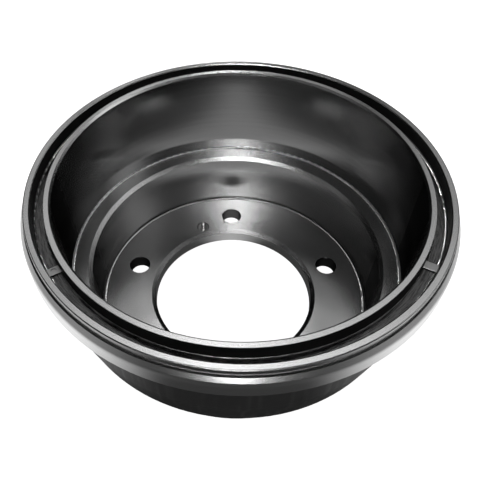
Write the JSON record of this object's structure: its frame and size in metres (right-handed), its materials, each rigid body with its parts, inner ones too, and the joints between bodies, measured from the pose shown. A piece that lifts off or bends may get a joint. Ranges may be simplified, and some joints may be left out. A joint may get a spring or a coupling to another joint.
{
  "type": "brake drum",
  "caption": "Cup-shaped turned drum with a smooth friction track, a grooved rim at its mouth, a stepped well and a drilled hub flange round a large centre bore.",
  "frame": {"origin": "centre of the hub flange's outer face, on the axle's axis, where the drum stands", "axes": "+Z along the axle, from the flange up to the open mouth; one bolt hole lies on +Y"},
  "size_m": [0.3524, 0.3524, 0.1665],
  "materials": {
    "cast_iron": "grey iron, finely turned and bright on the working faces, dark and rough as cast elsewhere"
  },
  "bodies": {
    "root": {"brake_drum": "cast_iron"}
  },
  "joints": []
}
